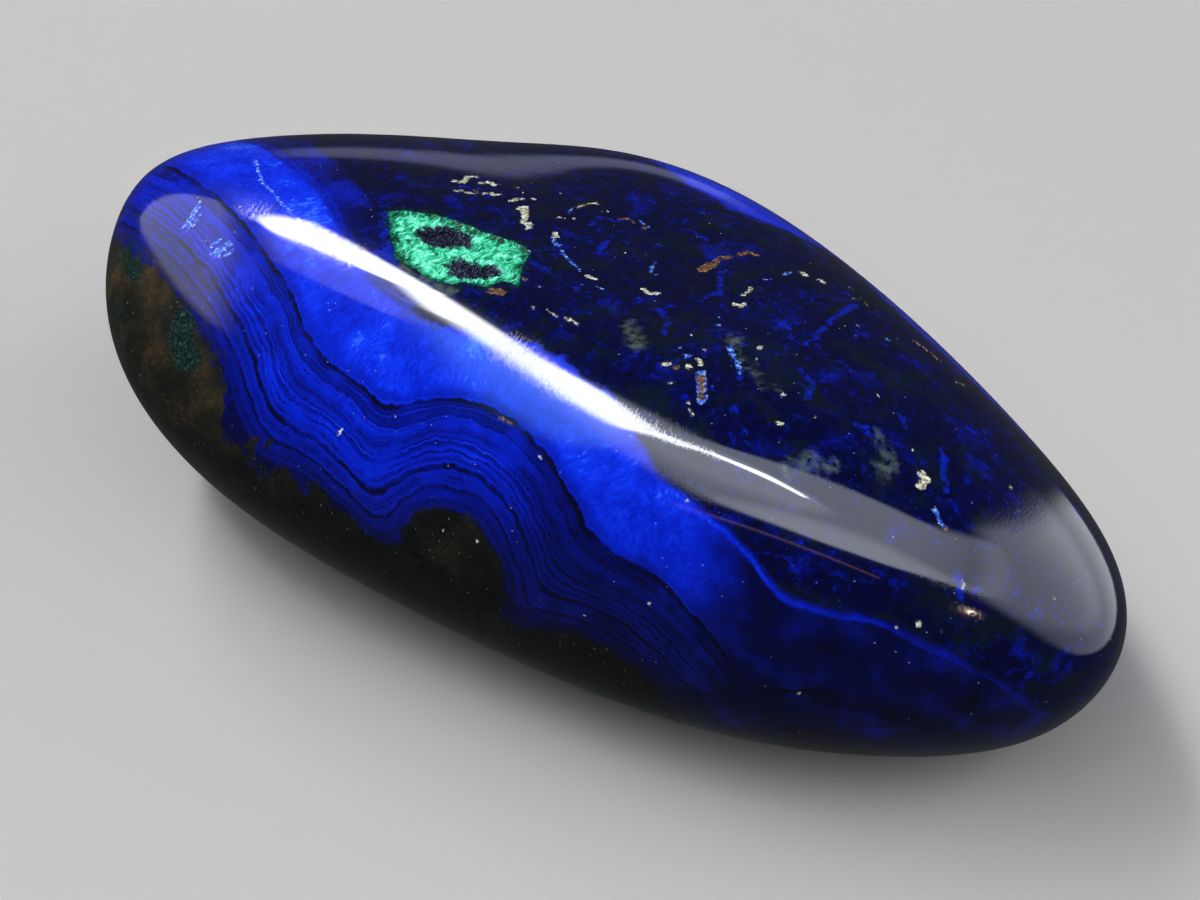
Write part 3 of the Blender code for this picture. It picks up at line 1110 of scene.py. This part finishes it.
# %% [markdown]
# ## The massive azurite
#
# Past the last band the azurite is coarse and so deep in colour that it looks black,
# with blue clouds, glimmers and veins where its crystals lie the right way to send light
# back, and a little murky green.

# %% Massive azurite
MURKY_GREEN = (0.0028, 0.0070, 0.0075)

wandering = swayed(place, 3.0, 2.0, detail=2.0)
marbling = rise(grain(wandering, 3.0, 4.0, 0.68), 0.47, 0.78)
fine_marbling = grain(place, 0.5, 3.0, 0.6)
glimmer_fields = rise(grain(place, 2.3, 2.0, 0.6), 0.40, 0.62)
glimmers = times(rise(grain(place, 0.34, 2.0, 0.75), 0.53, 0.70), glimmer_fields)
veins = times(stripe(grain(wandering, 4.5, 3.0, 0.6), 0.5, 0.012), rise(fine_marbling, 0.42, 0.60))
massive_light = add(times(marbling, 0.42), swing(fine_marbling, 0.40), times(glimmers, 0.34))
massive_light = add(massive_light, times(veins, 0.20), 0.13)
murk = rise(grain(place, 2.7, 3.0, 0.65), 0.46, 0.66)
massive = mix(times(murk, 0.65), ramp(massive_light, AZURITE_SHADES), MURKY_GREEN)
tell("massive azurite")

# %% [markdown]
# ## Where the bands end
#
# The massive azurite starts at one depth, but its edge is ragged, and smooth only by the
# narrow end. It starts later on the heel, and a little sooner along the ridge.

# %% Edge of the massive azurite
MASSIVE_FROM = 9.7
RAGGED_EDGE = 0.7
SMOOTH_EDGE = 0.12
LATER_ON_HEEL = 1.9
SOONER_ON_RIDGE = 0.45

edge_wander = mix(rise(place_x, 8.0, 12.0), RAGGED_EDGE, SMOOTH_EDGE, "FLOAT")
massive_edge = add(depth, times(minus(fine_marbling, 0.5), edge_wander))
on_heel = rise(place_x, -6.0, -13.0)
on_ridge = times(rise(place_x, -10.0, -5.0), rise(place_x, 7.0, 3.0), rise(place_y, 4.0, 1.0))
massive_edge = minus(massive_edge, times(on_heel, LATER_ON_HEEL))
massive_edge = add(massive_edge, times(on_ridge, SOONER_ON_RIDGE))
massive_share = rise(massive_edge, MASSIVE_FROM - 0.12, MASSIVE_FROM + 0.22)
azurite = mix(massive_share, blue_bands, massive)
tell("azurite")

# %% [markdown]
# ## The crust
#
# The nodules sit on limonite, an earthy brown iron ore. It is olive and rust on the
# heel, with green stains and druses, and nearly black along the keel. Low on the heel it
# is darkened with painted shade. Fine grit keeps it from looking like paint, and a few
# bright points are painted glints.

# %% Crust
CRUST_SHADES = [
    (0.25, (0.0025, 0.0030, 0.0025)),
    (0.42, (0.0065, 0.0070, 0.0042)),
    (0.55, (0.0150, 0.0125, 0.0062)),
    (0.68, (0.0340, 0.0220, 0.0090)),
    (0.82, (0.0850, 0.0480, 0.0190)),
]
DRUSE_SHADES = [
    (0.40, (0.0015, 0.0050, 0.0040)),
    (0.58, (0.0060, 0.0260, 0.0190)),
    (0.72, (0.0350, 0.1050, 0.0800)),
]
STAIN_GREEN = (0.006, 0.022, 0.015)
PAINTED_GLINT_GREY = (0.35, 0.36, 0.34)

crust_mottle = grain(place, 2.2, 5.0, 0.65)
crust_grit = grain(place, 0.18, 2.0, 0.7)
rust = times(stripe(depth, -1.2, 2.6), rise(place_x, -21.0, -26.0), 0.10)
# Painted shade: the crust is darkened low on the heel, where less light falls on it.
painted_shade_low_on_heel = times(rise(place_z, 15.0, 5.0), 0.20)
dark_front = times(rise(place_x, -20.0, -13.0), 0.10)
crust_tone = minus(add(crust_mottle, swing(crust_grit, 0.42), rust), painted_shade_low_on_heel, dark_front)
crust = ramp(crust_tone, CRUST_SHADES)
green_stain = times(rise(grain(place, 1.6, 4.0, 0.6), 0.50, 0.66), rise(place_x, -22.0, -29.0), 0.6)
crust = mix(green_stain, crust, STAIN_GREEN)
druse_share = rise(add(stored("druse"), swing(crust_mottle, 1.6)), -0.25, 0.35)
crust = mix(times(druse_share, 0.9), crust, ramp(crust_grit, DRUSE_SHADES))
# Painted glints: small grey points stand in for light caught by the crust's grains.
painted_crust_glints = rise(cells(place, 0.5), 0.09, 0.04)
crust = mix(times(painted_crust_glints, 0.7), crust, PAINTED_GLINT_GREY)
tell("crust")

# %% [markdown]
# ## Where the crust meets the blue
#
# The blue starts at depth 0, but in lobes and with gritty edges. On the heel some crust
# lies as thin seams between the first blue layers.

# %% Edge of the crust
LOBE_REACH = 6.0
SEAM_STRENGTH = 0.50

lobe_side = times(rise(place_x, -21.0, -17.0), rise(place_x, -6.0, -10.0))
lobes = times(minus(grain(place, 2.3, 3.0, 0.6), 0.42), lobe_side)
crust_edge = add(depth, swing(grain(place, 0.9, 4.0, 0.65), 1.7))
crust_edge = add(crust_edge, times(lobes, LOBE_REACH), swing(crust_grit, 0.9))
seam_depth = add(depth, swing(grain(place, 1.2, 3.0, 0.6), 1.6))
seam_line = rise(layers(seam_depth, 1.1), 0.52, 0.62)
heel_side = times(rise(place_x, -17.0, -22.0), rise(depth, 4.0, 3.0))
crust_share = most(rise(crust_edge, 0.28, -0.22), times(seam_line, heel_side, SEAM_STRENGTH))
skin = mix(crust_share, azurite, crust)
tell("edge of the crust")

# %% [markdown]
# ## Green films and dust
#
# A thin film of green clouds the blue in a few places, and pale dust is caught in the
# skin all over the azurite.

# %% Green films and dust
HAZE_GREEN = (0.085, 0.115, 0.085)
DUST_BLUE = (0.01, 0.05, 0.55)
DUST_PALE = (0.45, 0.52, 0.75)

haze_depth = add(stored("haze"), swing(patchy, 2.4))
haze_share = times(rise(fine_marbling, 0.30, 0.66), rise(haze_depth, -0.30, 0.50), 0.75)
skin = mix(haze_share, skin, HAZE_GREEN)
dust_tone = ramp(grain(place, 1.7), [(0.40, DUST_BLUE), (0.56, DUST_PALE)])
dust = rise(cells(place, 0.85), 0.062, 0.035)
skin = mix(times(dust, minus(1.0, crust_share), 0.5), skin, dust_tone)
tell("films and dust")

# %% [markdown]
# ## The flecks' colours
#
# The depth that each point stores is roughened with noise, so the flecks get broken
# edges, and each kind has its own shades.

# %% Fleck colours
CREAM_SHADES = [(0.35, (0.13, 0.12, 0.08)), (0.50, (0.42, 0.41, 0.30)), (0.65, (0.80, 0.79, 0.70))]
TAN_SHADES = [(0.35, (0.020, 0.012, 0.008)), (0.50, (0.11, 0.055, 0.025)), (0.68, (0.30, 0.17, 0.09))]
SKY_SHADES = [(0.35, (0.003, 0.03, 0.40)), (0.50, (0.04, 0.16, 0.75)), (0.68, (0.42, 0.62, 0.95))]
CLOUD_BLUE = (0.0008, 0.014, 0.40)
BROKEN_EDGE = 0.70

ragged = add(swing(grain(place, 0.26, 3.0, 0.75), BROKEN_EDGE), 0.02)
fleck_tone = grain(place, 0.22, 2.0, 0.6)


def fleck(kind, blur=0.05):
    """1 inside the flecks of this kind, 0 outside."""
    return rise(add(stored(kind), ragged), -blur, blur)


blue_share = times(fleck("blue", 0.22), rise(fine_marbling, 0.38, 0.60), 0.8)
skin = mix(blue_share, skin, CLOUD_BLUE)
skin = mix(times(fleck("sky"), 0.8), skin, ramp(fleck_tone, SKY_SHADES))
skin = mix(fleck("tan", 0.07), skin, ramp(fleck_tone, TAN_SHADES))
skin = mix(fleck("cream"), skin, ramp(fleck_tone, CREAM_SHADES))
tell("flecks")

# %% [markdown]
# ## The malachite
#
# Malachite grows in silky green tufts. Noise that is squeezed along one way gives the
# tufts, the depth inside the outline darkens the rim, and the pits show dark crystals
# with bright points. A dark fringe of green runs a little way out into the blue.

# %% Malachite
MALACHITE_SHADES = [
    (0.34, (0.002, 0.020, 0.012)),
    (0.45, (0.007, 0.100, 0.048)),
    (0.54, (0.018, 0.320, 0.150)),
    (0.62, (0.060, 0.600, 0.340)),
    (0.74, (0.260, 0.860, 0.620)),
]
PIT_SHADES = [
    (0.40, (0.0040, 0.0050, 0.0120)),
    (0.52, (0.0200, 0.0220, 0.0500)),
    (0.64, (0.1200, 0.1300, 0.2000)),
]
FRINGE_GREEN = (0.004, 0.045, 0.026)
TUFT_SQUEEZE = Vector((1.0, 0.30, 0.60))

pocket_edge = add(stored("pocket"), swing(grain(place, 0.35, 3.0, 0.65), 0.40))
pit_edge = add(stored("pit"), 0.08, swing(grain(place, 0.50, 4.0, 0.75), 1.9))
pit_share = rise(pit_edge, -0.10, 0.12)
pocket_share = rise(pocket_edge, -0.05, 0.05)
tuft_place = arrow("MULTIPLY", swayed(place, 1.0, 1.1), TUFT_SQUEEZE)
tufts = grain(tuft_place, 0.22, 3.0, 0.72)
tuft_beds = grain(place, 1.1, 3.0, 0.6)
tuft_light = add(tufts, swing(tuft_beds, 0.42), times(rise(pocket_edge, 0.05, 0.70), 0.16), -0.07)
pit_light = add(grain(place, 0.12, 2.0, 0.8), swing(tuft_beds, 0.2))
malachite = mix(pit_share, ramp(tuft_light, MALACHITE_SHADES), ramp(pit_light, PIT_SHADES))
fringe = times(rise(pocket_edge, -0.50, -0.02), rise(grain(tuft_place, 0.3, 3.0, 0.7), 0.46, 0.66), 0.8)
skin = mix(fringe, skin, FRINGE_GREEN)
tell("malachite")

# %% [markdown]
# ## Polish
#
# The polish is a clear coat over the mineral's own sheen. The silky blue layers scatter
# light widely, which makes the pale glow beside the bright line, while the massive
# azurite is closer to glass, and the crust is dull. The coat has fine scratches. The
# malachite in the pocket has next to no polish, and its tufts and crystals stand up.

# %% Polish
SILKY_SHEEN = 0.25
GLASSY_SHEEN = 0.12
EARTHY_SHEEN = 0.45
POCKET_SHEEN = 0.55
DRUSE_COAT = 0.45
POCKET_COAT = 0.12
COAT_ROUGHNESS = 0.03
COAT_IOR = 1.6
SHEEN_LEVEL = 0.10
SHEEN_TINT = (0.30, 0.55, 1.0, 1.0)
SCRATCH_DEPTH = 0.0012
SCRATCH_SQUEEZE = Vector((0.9, 0.16, 0.9))
TUFT_HEIGHT = 0.10
PIT_CRYSTAL_HEIGHT = 0.30


def bumps(height):
    """A bump node whose height is in mm."""
    bump = desk.nodes.new("ShaderNodeBump")
    bump.inputs["Strength"].default_value = 1.0
    bump.inputs["Distance"].default_value = MM
    plug(bump.inputs["Height"], height)
    return bump.outputs["Normal"]


def glossy_mineral(name, colour, roughness, coat_weight):
    """One mineral under the polish."""
    mineral = desk.nodes.new("ShaderNodeBsdfPrincipled")
    mineral.name = name
    plug(mineral.inputs["Base Color"], colour)
    plug(mineral.inputs["Roughness"], roughness)
    plug(mineral.inputs["Coat Weight"], coat_weight)
    mineral.inputs["Coat Roughness"].default_value = COAT_ROUGHNESS
    mineral.inputs["Coat IOR"].default_value = COAT_IOR
    mineral.inputs["Specular IOR Level"].default_value = SHEEN_LEVEL
    mineral.inputs["Specular Tint"].default_value = SHEEN_TINT
    return mineral


sheen = mix(massive_share, SILKY_SHEEN, GLASSY_SHEEN, "FLOAT")
sheen = mix(crust_share, sheen, EARTHY_SHEEN, "FLOAT")
coat = mix(times(druse_share, crust_share), 1.0, DRUSE_COAT, "FLOAT")
azurite_and_crust = glossy_mineral("azurite_and_crust", skin, sheen, coat)
scratch_place = arrow("MULTIPLY", place, SCRATCH_SQUEEZE)
scratched = rise(grain(place, 5.0, 0.0), 0.42, 0.66)
scratches = times(rise(grain(scratch_place, 0.11, 2.0, 0.7), 0.45, 0.75), scratched)
plug(azurite_and_crust.inputs["Coat Normal"], bumps(times(scratches, SCRATCH_DEPTH)))

rough_coat = times(minus(1.0, pit_share), POCKET_COAT)
green_pocket = glossy_mineral("green_pocket", malachite, POCKET_SHEEN, rough_coat)
pit_crystals = times(rise(stored("pit"), -0.1, 0.2), cells(place, 0.18), PIT_CRYSTAL_HEIGHT)
plug(green_pocket.inputs["Normal"], bumps(add(times(tufts, TUFT_HEIGHT), pit_crystals)))

minerals = desk.nodes.new("ShaderNodeMixShader")
plug(minerals.inputs[0], pocket_share)
desk.links.new(azurite_and_crust.outputs["BSDF"], minerals.inputs[1])
desk.links.new(green_pocket.outputs["BSDF"], minerals.inputs[2])
surface = desk.nodes.new("ShaderNodeOutputMaterial")
desk.links.new(minerals.outputs["Shader"], surface.inputs["Surface"])
for piece in (polished_stone, crystal_flecks):
    piece.data.materials.append(finish)
print(len(desk.nodes), "nodes in the finish")

# %% [markdown]
# ## Hand over
#
# Both pieces ride on the body of the stone, and the polished stone stands for its plain
# solid. The two boxes are kept, so that the finish can be measured against the solid.

# %% Hand over
for piece in (polished_stone, crystal_flecks):
    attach(piece, "root")
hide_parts("azurite_stone")
bpy.context.view_layer.update()
